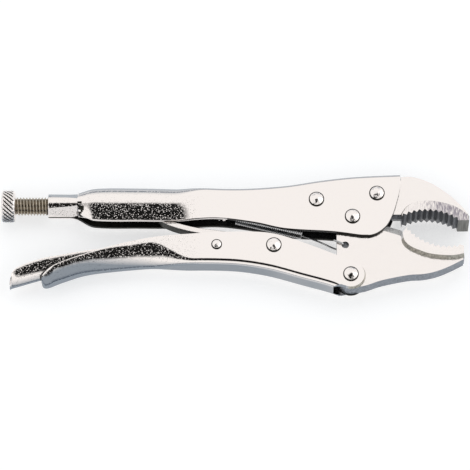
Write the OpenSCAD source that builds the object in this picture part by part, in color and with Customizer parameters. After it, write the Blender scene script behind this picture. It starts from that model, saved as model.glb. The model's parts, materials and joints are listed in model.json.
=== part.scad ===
// Curved-jaw locking pliers with a wire cutter, lying on one side.
// The origin is on the axis of the jaw pivot, in the plane that the tool lies on.
// +X points to the jaw tips, +Y to the handle with the screw, +Z up through the thickness.

/* [Handles] */
// Width of both channels over their flat cheeks
handle_w = 13; // [12:0.1:14]
// Thickness of the handle sheet
sheet_t = 2; // [1.8:0.05:2.1]
// Width of the rounded grip of the upper handle
upper_grip_w = 15.6; // [14.6:0.1:16.2]
// Width of the rounded grip of the lower handle
lower_grip_w = 15; // [14.4:0.1:16]
// Outer radius of the pressed corners along the front of each handle
corner_r = 3; // [2.6:0.1:3.6]
// Length of the round barrel that holds the screw
barrel_l = 15.4; // [14:0.1:17]
// Outer diameter of the barrel
barrel_d = 12.8; // [12.4:0.1:13.6]
// Depth of the flats pressed into the lower sides of the barrel, at its front end
barrel_flat = 0.8; // [0.4:0.05:0.9]
// Depth of the same flats at the mouth of the barrel
mouth_flat = 0.2; // [0:0.05:0.3]

/* [Release lever] */
// Thickness of the lever sheet
lever_t = 1.3; // [1.1:0.05:1.4]
// Width of the lever tail
lever_tail_w = 10.4; // [9.8:0.1:10.6]
// Outer radius of the pressed corners along the front of the lever
lever_corner_r = 2; // [1.6:0.1:2.4]
// Distance from the lever rivet to the front end of the lever
lever_nose = 9; // [7:0.1:10]

/* [Screw] */
// Outside diameter of the screw
screw_d = 9.85; // [9.6:0.01:10]
// Length of screw that shows between the knob and the barrel
screw_out = 17.4; // [8:0.1:20]
// Diameter of the knob
knob_d = 17; // [15:0.1:17]
// Length of the knob
knob_l = 7.6; // [6.6:0.1:10]
// Height of the chamfers at the knob's ends
knob_bevel = 1.2; // [0.6:0.1:1.6]
// Diameter of the spigot that holds the knob
spigot_d = 6; // [5:0.1:7]
// Distance from the screw tip to the link at the opened pivot
toggle_gap = 3.6; // [3.4:0.1:5]

/* [Jaws] */
// Width of the toothed lips
lip_w = 15; // [13.5:0.1:15.4]
// Height of the teeth
tooth_h = 1.4; // [1:0.05:1.7]
// Number of teeth on each jaw
tooth_count = 11; // [9:1:13]
// Radius of the curve through the upper tooth tips
upper_tooth_r = 28.5; // [28:0.1:29]
// Radius of the curve through the lower tooth tips
lower_tooth_r = 26.8; // [26.4:0.1:27.4]
// How far the foot of each lip spreads into its jaw
lip_flare = 1.2; // [0.6:0.1:1.6]
// Height of the bevel under the lower cutting edge
cutter_bevel = 5; // [4:0.1:6]
// Height of the bevel over the upper cutting edge
upper_bevel = 0.9; // [0.5:0.1:1.4]
// Diameter of the hole in the lower jaw for the spring hook
hook_hole_d = 3.9; // [3.4:0.1:4.4]

/* [Rivets] */
// Shank diameter of the large rivets
rivet_d = 6; // [5:0.1:6.6]
// Head diameter of the large rivets
rivet_head_d = 8.2; // [7.8:0.1:9]
// Head height of the large rivets
rivet_head_h = 2; // [1.6:0.1:2.3]
// Diameter of the flat on the large rivet heads
rivet_flat_d = 3.4; // [2.4:0.1:4]
// Shank diameter of the lever rivet
lever_rivet_d = 3.8; // [3.2:0.1:4.4]
// Head diameter of the lever rivet
lever_head_d = 5.7; // [5.2:0.1:6.4]
// Head height of the lever rivet
lever_head_h = 1.3; // [0.9:0.1:1.7]

/* [Linkage] */
// Radius of the link hub
hub_r = 5.5; // [5:0.1:6]
// Radius of the rounded rear end of the link
link_end_r = 4; // [3.4:0.1:4.4]
// Thickness of the link
link_t = 7; // [6.4:0.1:8]
// Width of the link at its waist
link_waist = 3; // [2.4:0.1:3.4]

/* [Spring] */
// Wire diameter of the spring
wire_d = 1; // [0.8:0.05:1.2]
// Outer diameter of the spring coils
coil_d = 6; // [5:0.1:6.4]
// Number of coils
coil_count = 34; // [28:1:36]

/* [Clearances] */
// Gap between a piece and the cheek beside it
side_gap = 0.2; // [0.15:0.05:0.3]
// Radial clearance of a rivet or screw in its hole
running = 0.06; // [0.03:0.01:0.1]
// Gap between the link and each lip of the upper grip
lip_gap = 0.3; // [0.25:0.05:0.5]
// Gap between curved faces of neighbouring pieces
body_gap = 0.3; // [0.25:0.05:0.4]

/* [Hidden] */
$fn = 64;

mid_z = handle_w / 2 + rivet_head_h;
channel_w = handle_w - 2 * sheet_t;
web_t = channel_w - 2 * side_gap;
grip_slot_w = link_t + 2 * (lip_gap + sheet_t);
overcut = 1;

// Rivet axes
jaw_pivot = [0, 0];
handle_pivot = [-1.15, -33.1];
link_pivot = [-41.7, -16.45];
lever_pivot = [-71.9, -16.15];
rear_fixing = [-19, 9.9];
front_fixing = [13.1, 13.4];
screw_y = 8.5;
link_rear = [-112, screw_y];
link_bend = [[-105, 3], [-97, -2.3], [-88.6, -5.2], [-80.7, -7], [-70, -8.6], [-58, -11]];

// Screw and barrel along X
barrel_back = -161.3;
barrel_front = barrel_back + barrel_l;
knob_front = barrel_back - screw_out;
knob_back = knob_front - knob_l;
screw_tip = link_rear[0] - link_end_r - toggle_gap;
bore_r = screw_d / 2 + running;

// Upper handle: height of its back and of its open edges along X
grip_start = barrel_front - 4;
grip_full = barrel_front + 9;
grip_end = -95;
cheek_start = -77;
nose_x = 25.6;
upper_back = [
  [grip_start, screw_y + barrel_d / 2], [barrel_front, 15.4], [grip_full, 18.1], [-114, 18.4], [-88, 17.7],
  [-60, 16.9], [-36, 18.5], [-16, 21.7], [2, 23.8], [nose_x, 25]
];
upper_edge = [
  [grip_start, screw_y - barrel_d / 2], [barrel_front, 1.6], [grip_full, -1.4], [-112, -1.9], [-92, -1.9],
  [-72, -0.8], [-52, -3.3], [-36, -6.9], [-10, -8.8], [6, -10.9], [nose_x, -11.4]
];
upper_nose = [
  [3, -12.5], [4.5, -10.85], [12.1, -9.8], [18.6, -4.2], [23.4, 8.1], [nose_x, 18], [nose_x, 25]
];

// Shape of the rounded channels: the share of the depth over which a back curves, and the
// powers by which a round flank and a leaning one curl in
round_share = 0.85;
round_flank = 2.3;
lean_flank = 1.3;

// Lower handle: height of its back and of its open edges along X
lower_end = -164.2;
round_end = -108;
flat_start = -84;
ear_r = 7.8;
spine_end = -10.4;
lower_back = [
  [lower_end, -36.4], [-163.2, -38.3], [-160.5, -38.5], [-154, -35.8], [-141, -31.4], [-122, -28.8],
  [-102, -27.3], [-66, -27.1], [-46, -29.8], [-26, -35.5], [spine_end, -40.2], [-3, -44], [8, -49]
];
lower_edge = [
  [lower_end, -35.2], [-163.6, -33.2], [-160.2, -30], [-154.9, -27], [-144.3, -22.9], [-123.1, -16.2],
  [-102, -11.8], [-78, -9.4], [-62, -8.8], [-47.8, -9.1], [-38.3, -10.8], [-24.5, -15.7], [-8.1, -22.4],
  [2, -26.4], [8, -29]
];
ear_join = -20;
ear_step = handle_pivot[1] - ear_r * 0.85;

// Release lever: height of its back and of its open edges along X
tail_end = -180.9;
lever_back = [
  [tail_end, -39.2], [-176, -37.7], [-164, -34], [-150, -30.8], [-132, -27.3], [-110, -25.2],
  [-80, -24.2], [lever_pivot[0] + lever_nose, -23.6]
];
lever_edge = [
  [tail_end, -37.4], [-179.8, -31.8], [-176.1, -28.3], [-165.5, -24], [-154.9, -21.7], [-136.4, -18.4],
  [-116, -16.6], [-96, -14.2], [-80, -13.2], [lever_pivot[0] + lever_nose, -15.8]
];

// Centres of the tooth curves and the directions of their first and last teeth
upper_tooth_c = [39.3, -26];
upper_tooth_a = [54.5, 117.5];
lower_tooth_c = [50.3, 9.6];
lower_tooth_a = [217, 283];

// Jaw outlines
boss_r = 8.5;
seat_r = boss_r + body_gap;
heel_r = 7.3;
upper_crown = [
  [nose_x + body_gap, 23.6], [30.5, 24], [36, 22.8], [42.4, 20], [47.8, 16.4], [53.2, 12],
  [58.6, 6.2], [61.3, 2.4]
];
upper_lip_back = [
  [26.3, 1], [27.3, 2.9], [29.2, 5.4], [32.5, 7.5], [37.5, 8.5], [42.4, 8.5], [48, 7.5], [53.2, 5.9],
  [58.2, 2.9], [61.2, 0.2]
];
upper_tip = [61.7, -2.7];
upper_web_edge = [[57.5, 1], [50, 4.6], [42.4, 5.6], [34, 4.8], [29.4, 2.6]];
shank_back = -30;
shank_back_y = 4.5;
shank_step = 6;
upper_cut_y = 1;
upper_cut_x = [16, nose_x + 1.4];
lower_belly = [
  [-1.15, -40.4], [6.7, -38.8], [15.3, -35.8], [28.9, -32.9], [37, -32.3], [44, -30.7], [51, -27.8],
  [58.5, -23.8]
];
lower_lip_back = [
  [58.6, -21.6], [54.5, -22.6], [49.2, -22.8], [41.2, -21.9], [35.5, -20], [30.2, -17.4], [27.2, -14],
  [26.4, -9.6]
];
lower_tip = [58.6, -17.3];
lower_web_edge = [[57, -20], [50, -20.6], [41, -19.6], [34, -16.8], [29, -11.5]];
cutter_rear = [16, -2.2];
cutter_front = [26.6, -5.7];
hook_hole = [-3.9, -15.6];

// Spring: coil ends, and the lug on the upper handle that holds its rear loop
coil_front = [-26.6, -7.4];
coil_rear = [-61.5, 1.2];
coil_r = (coil_d - wire_d) / 2;
lug_x = -68;
lug_t = 1.6;
lug_y = 0.4;
lug_w = 5;
loop_hole_d = 2.6;
hook_pull = hook_hole_d / 2 - wire_d / 2 - body_gap;

// Curves and lofts

function cubic(a, b, c, d, t) =
  b + 0.5 * t * ((c - a) + t * ((2 * a - 5 * b + 4 * c - d) + t * (3 * (b - c) + d - a)));

// Smooth curve through a list of points
function curve(p, n = 4) = let (last = len(p) - 1) concat(
  [for (i = [0:last - 1], k = [0:n - 1]) cubic(p[max(i - 1, 0)], p[i], p[i + 1], p[min(i + 2, last)], k / n)],
  [p[last]]
);

// Smooth curve through a list of points, as n points
function resampled(p, n) = let (last = len(p) - 1)
  [for (i = [0:n - 1]) let (t = i * last / (n - 1), k = min(floor(t), last - 1))
    cubic(p[max(k - 1, 0)], p[k], p[k + 1], p[min(k + 2, last)], t - k)];

function slope(k, i) = let (a = max(i - 1, 0), b = min(i + 1, len(k) - 1))
  (k[b][1] - k[a][1]) / (k[b][0] - k[a][0]);

// Height at x of a smooth line through [x, height] knots
function at(k, x) =
  let (i = min(len(k) - 2, max([for (j = [0:len(k) - 2]) if (j == 0 || x >= k[j][0]) j])),
       w = k[i + 1][0] - k[i][0],
       t = min(1, max(0, (x - k[i][0]) / w)))
  (1 + 2 * t) * pow(1 - t, 2) * k[i][1] + t * pow(1 - t, 2) * w * slope(k, i)
  + t * t * (3 - 2 * t) * k[i + 1][1] - t * t * (1 - t) * w * slope(k, i + 1);

function blend(a, b, t) = a + (b - a) * t * t * (3 - 2 * t);
function ramp(x, from, to) = min(1, max(0, (x - from) / (to - from)));
function backwards(p) = [for (i = [len(p) - 1:-1:0]) p[i]];
function mirrored(p) = [for (q = p) [q[0], -q[1]]];

// One half of a channel section as [height, width], from its open edge up to its back
function half_section(edge, back, half_w, rw, rh, curl, lean, sides = 3, arcs = 5) =
  let (turn = back - sign(back - edge) * rh,
       flank = round_flank * (1 - lean) + lean_flank * lean)
  concat(
    [for (i = [0:sides - 1]) let (t = i / sides)
      [edge + (turn - edge) * t, half_w - curl * pow(1 - t, flank)]],
    [for (i = [0:arcs]) let (a = 90 * i / arcs)
      [turn + sign(back - edge) * rh * sin(a), half_w - rw + rw * cos(a)]]
  );

// Closed section of a sheet channel at x: the outside there, and the inside back. Its open
// edges curl in: round for a lean of 0, so that they face each other, and nearly straight
// for a lean of 1, so that they face away from the back.
function channel_ring(x, t, edge, back, half_w, rw, rh, curl = 0, lean = 1) =
  let (up = sign(back - edge),
       facing = min(t, curl) * (1 - lean),
       hem = edge + up * facing,
       deep = abs(back - up * t - hem),
       outer = half_section(edge, back, half_w, rw, rh, curl, lean),
       inner = half_section(hem, back - up * t, half_w - t, max(rw - t, 0.3),
                            min(max(rh - t, 0.3), 0.8 * deep), curl - facing, lean))
  [for (q = concat(outer, backwards(mirrored(outer)), mirrored(inner), backwards(inner)))
    [x, q[0], mid_z + up * q[1]]];

// Solid through a row of closed rings with equal numbers of points, which run clockwise as
// seen from the next ring. The rings of a sheet run along its outside and back along its
// inside, so its ends close as strips.
module skin(rings, sheet = false) {
  n = len(rings[0]);
  last = len(rings) - 1;
  near_end = sheet ? [for (i = [0:n / 2 - 2]) [n - 1 - i, n - 2 - i, i + 1, i]] : [[for (i = [n - 1:-1:0]) i]];
  far_end = [for (f = near_end) [for (i = backwards(f)) last * n + i]];
  sides = [for (j = [0:last - 1], i = [0:n - 1]) let (k = (i + 1) % n)
    each [[j * n + i, j * n + k, (j + 1) * n + k], [j * n + i, (j + 1) * n + k, (j + 1) * n + i]]];
  polyhedron(
    points = [for (r = rings) each r],
    faces = concat(near_end, sides, far_end),
    convexity = 8
  );
}

// Round wire along a path that is never parallel to the vector across
module wire(path, r, across, n = 8) {
  last = len(path) - 1;
  function unit(v) = v / norm(v);
  skin([for (i = [0:last]) let (
      heading = unit(path[min(i + 1, last)] - path[max(i - 1, 0)]),
      u = unit(cross(heading, across)),
      v = cross(heading, u))
    [for (k = [0:n - 1]) path[i] + r * (cos(360 * k / n) * u - sin(360 * k / n) * v)]]);
}

// Plate of thickness t about the middle plane
module plate(t) {
  translate([0, 0, mid_z - t / 2]) linear_extrude(t) children();
}

module hole(p, r, depth = handle_w + 2 * overcut) {
  translate([p[0], p[1], mid_z - depth / 2]) cylinder(r = r, h = depth);
}

// Round bar along X on the screw's axis
module rod(from, to, r1, r2) {
  translate([from, screw_y, mid_z]) rotate([0, 90, 0]) cylinder(h = to - from, r1 = r1, r2 = r2);
}

// Half section of a rivet with a domed head, flat on top, at each end
module rivet_outline(shank_r, head_r, head_h, flat_r) {
  steps = 6;
  seat = handle_w / 2;
  dome = [for (i = [0:steps]) let (a = 90 * i / steps)
    [flat_r + (head_r - flat_r) * cos(a), seat + head_h * sin(a)]];
  upper = concat([[shank_r, seat]], dome, [[0, seat + head_h]]);
  polygon(concat(backwards([for (q = upper) [q[0], -q[1]]]), upper));
}

module rivet(p, shank_r, head_r, head_h, flat_r) {
  translate([p[0], p[1], mid_z]) rotate_extrude() rivet_outline(shank_r, head_r, head_h, flat_r);
}

module large_rivet(p) {
  rivet(p, rivet_d / 2, rivet_head_d / 2, rivet_head_h, rivet_flat_d / 2);
}

// Tooth tips and valleys along an arc that is hollow towards c
function teeth(c, r, a) =
  let (step = (a[1] - a[0]) / tooth_count)
  [for (i = [0:2 * tooth_count]) let (b = a[0] + step * i / 2, q = r + tooth_h * (i % 2))
    c + q * [cos(b), sin(b)]];

// Toothed lip between its teeth and its back, which flares out where it meets the web
module lip(toothed, back, c) {
  smooth = resampled(back, len(toothed));
  flared = [for (p = smooth) p + lip_flare * (p - c) / norm(p - c)];
  layers = [[-lip_w / 2, smooth], [-web_t / 2, flared], [web_t / 2, flared], [lip_w / 2, smooth]];
  skin([for (s = layers) [for (p = concat(toothed, s[1])) [p[0], p[1], mid_z + s[0]]]], sheet = true);
}

// Cutting edge: a ridge from one point to another, whose bevels fall by h to the web's faces
module cutter(from, to, h) {
  run = to - from;
  heading = atan2(run[1], run[0]);
  translate([from[0], from[1], mid_z]) rotate([0, 0, heading]) rotate([90, 0, 90])
    linear_extrude(norm(run)) polygon([[0, 0], [-h, web_t / 2], [-h, -web_t / 2]]);
}

// Sub-parts

module upper_handle_sheet() {
  mouth_slot_w = 1.2;
  stations = concat([for (x = [grip_start:2:grip_full]) x], [for (x = [grip_full + 2:4:nose_x]) x], [nose_x]);
  skin([for (x = stations) let (
      grip = blend(0, 1, ramp(x, grip_start, grip_full)),
      flat = blend(0, 1, ramp(x, grip_end, cheek_start)),
      edge = at(upper_edge, x),
      back = at(upper_back, x),
      half_w = barrel_d / 2 * (1 - grip) + upper_grip_w / 2 * grip * (1 - flat) + handle_w / 2 * flat,
      full_h = (back - edge) / 2)
    channel_ring(x, sheet_t, edge, back, half_w,
      (half_w - 0.3) * (1 - flat) + corner_r * flat, full_h * (1 - flat) + corner_r * flat,
      (half_w - grip_slot_w / 2 * grip - mouth_slot_w / 2 * (1 - grip)) * (1 - flat), grip)], sheet = true);
}

module upper_handle() {
  color([0.8, 0.79, 0.77])
  difference() {
    union() {
      upper_handle_sheet();
      rod(barrel_back, barrel_front, barrel_d / 2, barrel_d / 2);
      spring_lug();
    }
    rod(barrel_back - overcut, grip_full, bore_r, bore_r);
    barrel_flats();
    for (p = [jaw_pivot, rear_fixing, front_fixing]) hole(p, rivet_d / 2 + running);
    plate(handle_w + 2 * overcut)
      polygon(concat(curve(upper_nose), [[nose_x + 5, 25], [nose_x + 5, -16], [3, -16]]));
  }
}

// Wedges that press a flat into the lower sides of the barrel, deeper towards the grip
module barrel_flats() {
  r = barrel_d / 2;
  lean = 40;
  shoulder = 2.5;
  clear_r = r + 4;
  wedge = [
    [barrel_back - overcut, r - mouth_flat], [barrel_front, r - barrel_flat],
    [barrel_front + shoulder, clear_r], [barrel_back - overcut, clear_r]
  ];
  for (side = [-1, 1])
    translate([0, screw_y, mid_z]) rotate([90 + side * lean, 0, 0]) translate([0, 0, -r]) linear_extrude(2 * r)
      polygon(side > 0 ? wedge : backwards(mirrored(wedge)));
}

// Lug pressed down from the back of the upper handle, with the hole for the spring's rear loop
module spring_lug() {
  difference() {
    translate([lug_x - lug_t / 2, lug_y, mid_z - lug_w / 2])
      cube([lug_t, at(upper_back, lug_x) - sheet_t / 2 - lug_y, lug_w]);
    translate([lug_x - lug_t, lug_y + loop_hole_d, mid_z]) rotate([0, 90, 0])
      cylinder(d = loop_hole_d, h = 2 * lug_t);
  }
}

module upper_jaw() {
  toothed = concat([upper_tip], teeth(upper_tooth_c, upper_tooth_r, upper_tooth_a));
  root_y = upper_cut_y + upper_bevel;
  shank_top = [for (x = concat([for (k = [shank_back:shank_step:nose_x - 2]) k], [nose_x + body_gap]))
    [x, at(upper_back, x) - corner_r - body_gap]];
  color([0.78, 0.76, 0.74])
  difference() {
    union() {
      plate(web_t) polygon(concat(shank_top, curve(upper_crown), upper_web_edge,
        [[nose_x + 1, root_y], [seat_r * cos(12), root_y], [-seat_r, root_y], [shank_back, shank_back_y]]));
      lip(toothed, upper_lip_back, upper_tooth_c);
      cutter([upper_cut_x[1], upper_cut_y], [upper_cut_x[0], upper_cut_y], upper_bevel);
    }
    hole(jaw_pivot, seat_r);
    for (p = [rear_fixing, front_fixing]) hole(p, rivet_d / 2 + running);
  }
}

module lower_jaw() {
  toothed = concat(teeth(lower_tooth_c, lower_tooth_r, lower_tooth_a), [lower_tip]);
  foot = [0, cutter_bevel];
  color([0.76, 0.74, 0.72])
  difference() {
    union() {
      plate(web_t) {
        translate(jaw_pivot) circle(r = boss_r);
        translate(handle_pivot) circle(r = heel_r);
        polygon(concat([[-boss_r + 0.05, 0], [-boss_r + 0.05, handle_pivot[1]]],
          curve(lower_belly), lower_web_edge, [cutter_front - foot, cutter_rear - foot, [boss_r, -2]]));
      }
      lip(toothed, lower_lip_back, lower_tooth_c);
      cutter(cutter_rear, cutter_front, cutter_bevel);
    }
    for (p = [jaw_pivot, handle_pivot]) hole(p, rivet_d / 2 + running);
    hole(hook_hole, hook_hole_d / 2);
  }
}

module lower_handle_sheet() {
  front = lower_edge[len(lower_edge) - 1][0];
  stations = concat([lower_end, -163.2, -161.6, -159], [for (x = [-156:4:front - 2]) x], [front]);
  skin([for (x = stations) let (
      flat = blend(0, 1, ramp(x, round_end, flat_start)),
      edge = at(lower_edge, x),
      back = at(lower_back, x),
      close = sqrt(ramp(x, lower_end - 1, lower_end + 6)),
      half_w = lower_grip_w / 2 * (1 - flat) * (0.45 + 0.55 * close) + handle_w / 2 * flat,
      depth = edge - back)
    channel_ring(x, min(sheet_t, depth * 0.6), edge, back, half_w,
      (half_w - 0.3) * (1 - flat) + corner_r * flat, depth * round_share * (1 - flat) + corner_r * flat)],
      sheet = true);
}

module lower_handle() {
  front = lower_edge[len(lower_edge) - 1][0];
  color([0.79, 0.78, 0.77])
  difference() {
    intersection() {
      lower_handle_sheet();
      plate(lower_grip_w + 2 * overcut) {
        translate([lower_end - overcut, -60]) square([ear_join - lower_end + overcut, 60]);
        translate(handle_pivot) circle(r = ear_r);
        polygon([
          [ear_join - 1, -50], [spine_end, -50], [spine_end, ear_step],
          handle_pivot - ear_r * [sin(20), cos(20)],
          handle_pivot, handle_pivot + ear_r * [sin(24), cos(24)], [ear_join - 1, -10]
        ]);
      }
    }
    translate([spine_end, -60, mid_z - channel_w / 2]) cube([front - spine_end + overcut, 60, channel_w]);
    for (p = [handle_pivot, link_pivot]) hole(p, rivet_d / 2 + running);
    hole(lever_pivot, lever_rivet_d / 2 + running);
  }
}

// Bent bar with a hub at its front end; its rear end bears on the screw
module toggle_link() {
  path = curve(concat([link_rear], link_bend, [link_pivot]));
  last = len(path) - 1;
  swell = 1.2;
  function aside(i, s) =
    let (run = path[min(i + 1, last)] - path[max(i - 1, 0)],
         half_w = link_waist / 2 + swell * pow(abs(2 * i / last - 1), 4))
    path[i] + s * half_w * [-run[1], run[0]] / norm(run);
  color([0.7, 0.69, 0.67])
  difference() {
    plate(link_t) {
      translate(link_pivot) circle(r = hub_r);
      translate(link_rear) circle(r = link_end_r);
      polygon(concat([for (i = [0:last]) aside(i, -1)], [for (i = [last:-1:0]) aside(i, 1)]));
    }
    hole(link_pivot, rivet_d / 2 + running);
  }
}

module release_lever() {
  front = lever_pivot[0] + lever_nose;
  stations = concat([tail_end, -180.3, -179, -177, -174], [for (x = [-170:5:front - 2]) x], [front]);
  color([0.74, 0.74, 0.75])
  difference() {
    skin([for (x = stations) let (
        flat = blend(0, 1, ramp(x, round_end, flat_start)),
        edge = at(lever_edge, x),
        back = at(lever_back, x),
        depth = edge - back,
        half_w = lever_tail_w / 2 * (1 - flat) + web_t / 2 * flat)
      channel_ring(x, min(lever_t, depth * 0.6), edge, back, half_w,
        (half_w - 0.3) * (1 - flat) + lever_corner_r * flat,
        depth * round_share * (1 - flat) + lever_corner_r * flat)], sheet = true);
    hole(lever_pivot, lever_rivet_d / 2 + running);
  }
}

module adjusting_screw() {
  point = 1.5;
  grip = knob_l * 0.7;
  color([0.55, 0.5, 0.42]) {
    rod(knob_front - grip, knob_front, spigot_d / 2, spigot_d / 2);
    rod(knob_front, screw_tip - point, screw_d / 2, screw_d / 2);
    rod(screw_tip - point, screw_tip, screw_d / 2, screw_d / 2 - point);
  }
}

module screw_knob() {
  socket = knob_l * 0.75;
  r = knob_d / 2;
  color([0.75, 0.73, 0.7])
  difference() {
    union() {
      rod(knob_back, knob_back + knob_bevel, r - knob_bevel, r);
      rod(knob_back + knob_bevel, knob_front - knob_bevel, r, r);
      rod(knob_front - knob_bevel, knob_front, r, r - knob_bevel);
    }
    rod(knob_front - socket, knob_front + overcut, spigot_d / 2 + running, spigot_d / 2 + running);
  }
}

// Close-wound coils with a loop at the rear, and at the front a long hook that passes
// the far side of the lower jaw and comes back through its hole
module tension_spring() {
  run = coil_front - coil_rear;
  length = norm(run);
  heading = atan2(run[1], run[0]);
  pitch = length / coil_count;
  reach = (hook_hole - coil_front) / norm(hook_hole - coil_front);
  bend = 1.6 * wire_d;
  far = mid_z - web_t / 2 - wire_d;
  near = mid_z + web_t / 2 + wire_d;
  seat = coil_r - wire_d / 4;
  function beside_hole(back, z) = let (q = hook_hole - (hook_pull + back) * reach) [q[0], q[1], z];
  function beside_coil(ahead, z) = let (q = coil_front + ahead * reach) [q[0], q[1], mid_z + z];
  front_hook = curve([
    beside_coil(-2, -seat), beside_coil(1, -seat), beside_coil(10, -seat - 1), beside_hole(6, far),
    beside_hole(bend, far), beside_hole(bend * 0.25, far + bend * 0.25), beside_hole(0, far + bend),
    beside_hole(0, near - bend), beside_hole(bend * 0.25, near - bend * 0.25), beside_hole(bend, near),
    beside_hole(3.4 * bend, near)
  ], 2);
  loop_y = lug_y + loop_hole_d;
  rear_loop = curve([
    [coil_rear[0] + 1.5, coil_rear[1] - 0.3, mid_z + seat],
    [coil_rear[0] - 1.5, coil_rear[1] + 0.6, mid_z + seat - 0.4],
    [lug_x + 2.2, loop_y, mid_z + 0.4], [lug_x, loop_y, mid_z],
    [lug_x - 2, loop_y - 0.7, mid_z], [lug_x - 2.6, loop_y - 2.4, mid_z]
  ], 3);
  groove = wire_d * [0.3, 0];
  ridges = [for (i = [0:coil_count - 1], k = [0:1]) [coil_d / 2 - groove[k], (i + k / 2) * pitch]];
  color([0.35, 0.34, 0.33]) {
    translate([coil_rear[0], coil_rear[1], mid_z]) rotate([0, 0, heading]) rotate([0, 90, 0])
      rotate_extrude($fn = 24)
        polygon(concat(ridges, [[coil_d / 2 - wire_d, length], [coil_d / 2 - wire_d, 0]]));
    wire(front_hook, wire_d / 2, [-reach[1], reach[0], 0]);
    wire(rear_loop, wire_d / 2, [0, 0, 1]);
  }
}

module jaw_rivet_rear() { color([0.82, 0.81, 0.8]) large_rivet(rear_fixing); }
module jaw_rivet_front() { color([0.82, 0.81, 0.8]) large_rivet(front_fixing); }
module jaw_pivot_rivet() { color([0.82, 0.81, 0.8]) large_rivet(jaw_pivot); }
module handle_pivot_rivet() { color([0.82, 0.81, 0.8]) large_rivet(handle_pivot); }
module link_pivot_rivet() { color([0.82, 0.81, 0.8]) large_rivet(link_pivot); }
module lever_pivot_rivet() {
  color([0.82, 0.81, 0.8]) rivet(lever_pivot, lever_rivet_d / 2, lever_head_d / 2, lever_head_h, lever_head_d / 5);
}

upper_handle();
upper_jaw();
lower_jaw();
lower_handle();
toggle_link();
release_lever();
adjusting_screw();
screw_knob();
tension_spring();
jaw_rivet_rear();
jaw_rivet_front();
jaw_pivot_rivet();
handle_pivot_rivet();
link_pivot_rivet();
lever_pivot_rivet();
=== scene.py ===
import json
import math
from contextlib import contextmanager
from functools import partialmethod

import bmesh
import bpy
from mathutils import Matrix, Vector

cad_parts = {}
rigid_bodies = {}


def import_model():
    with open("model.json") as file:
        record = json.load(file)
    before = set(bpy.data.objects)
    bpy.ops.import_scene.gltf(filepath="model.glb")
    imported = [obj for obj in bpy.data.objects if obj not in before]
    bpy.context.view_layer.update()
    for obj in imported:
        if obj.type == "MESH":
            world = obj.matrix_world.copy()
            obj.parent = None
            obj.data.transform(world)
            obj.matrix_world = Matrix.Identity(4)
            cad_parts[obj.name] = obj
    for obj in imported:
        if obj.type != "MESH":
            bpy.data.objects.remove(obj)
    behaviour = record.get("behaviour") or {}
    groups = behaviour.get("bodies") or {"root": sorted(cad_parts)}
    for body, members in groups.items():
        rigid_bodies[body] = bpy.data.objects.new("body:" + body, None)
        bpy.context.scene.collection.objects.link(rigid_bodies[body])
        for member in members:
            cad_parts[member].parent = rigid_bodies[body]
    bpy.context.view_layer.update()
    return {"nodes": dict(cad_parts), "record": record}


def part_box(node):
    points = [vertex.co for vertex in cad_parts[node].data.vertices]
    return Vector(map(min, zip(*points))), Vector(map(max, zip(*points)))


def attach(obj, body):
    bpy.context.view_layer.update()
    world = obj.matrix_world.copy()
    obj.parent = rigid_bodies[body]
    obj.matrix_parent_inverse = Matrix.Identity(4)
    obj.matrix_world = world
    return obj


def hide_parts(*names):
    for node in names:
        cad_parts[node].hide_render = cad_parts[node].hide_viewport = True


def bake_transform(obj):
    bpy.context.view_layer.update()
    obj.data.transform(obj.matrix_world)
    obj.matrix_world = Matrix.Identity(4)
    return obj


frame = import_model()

bl_info = {
    "name": "Locking Pliers",
    "version": (1, 0, 0),
    "blender": (4, 5, 0),
    "location": "View3D > Sidebar > Pliers",
    "description": "Nickel-plated curved-jaw locking pliers around a fixed mechanical frame",
    "category": "Object",
}

MM = 0.001
JOINTS = {j["name"]: j for j in frame["record"]["behaviour"]["joints"]}
JAW_AXIS, HANDLE_AXIS, LINK_AXIS, LEVER_AXIS, SCREW_AXIS = (
    Vector(JOINTS[name]["pos_m"]) / MM
    for name in ("jaw_pivot", "handle_pivot", "link_pivot", "lever_pivot", "screw_turn")
)
MIDDLE = JAW_AXIS.z


def node_box(node):
    """Lowest and highest corner of a frame node at rest, in millimetres."""
    low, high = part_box(node)
    return Vector(low) / MM, Vector(high) / MM


def node_centre(node):
    low, high = node_box(node)
    return (low + high) / 2


# ---------------------------------------------------------------- settings


def mm_size(name, what, default):
    return bpy.props.FloatProperty(name=name, description=what + ", in mm", default=default)


def base_colour(name, what, default):
    return bpy.props.FloatVectorProperty(name=name, description=what, subtype="COLOR", size=3, default=default)


class PliersSheet(bpy.types.PropertyGroup):
    """Sizes of the pressed handles and lever."""

    cheek_width: mm_size("Cheek width", "Width of both handles over their flat cheeks", 13.0)
    sheet: mm_size("Sheet", "Thickness of the handle sheet", 2.0)
    upper_grip: mm_size("Upper grip width", "Width of the rounded upper grip", 15.6)
    lower_grip: mm_size("Lower grip width", "Width of the rounded lower grip", 15.0)
    barrel: mm_size("Barrel diameter", "Outside of the barrel", 12.8)
    bore: mm_size("Barrel bore", "Diameter of the barrel's bore", 10.0)
    barrel_flat: mm_size("Barrel flat", "Depth of the flats pressed into the barrel", 0.8)
    slot: mm_size("Grip slot", "Width of the slot under the grip", 11.6)
    corner: mm_size("Corner radius", "Radius along the back of the flat cheeks", 3.0)
    lever_sheet: mm_size("Lever sheet", "Thickness of the lever sheet", 1.3)
    lever_tail: mm_size("Lever tail width", "Width of the lever tail", 10.4)
    edge: mm_size("Edge rounding", "Rounding of the sheet's edges", 0.35)


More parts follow.
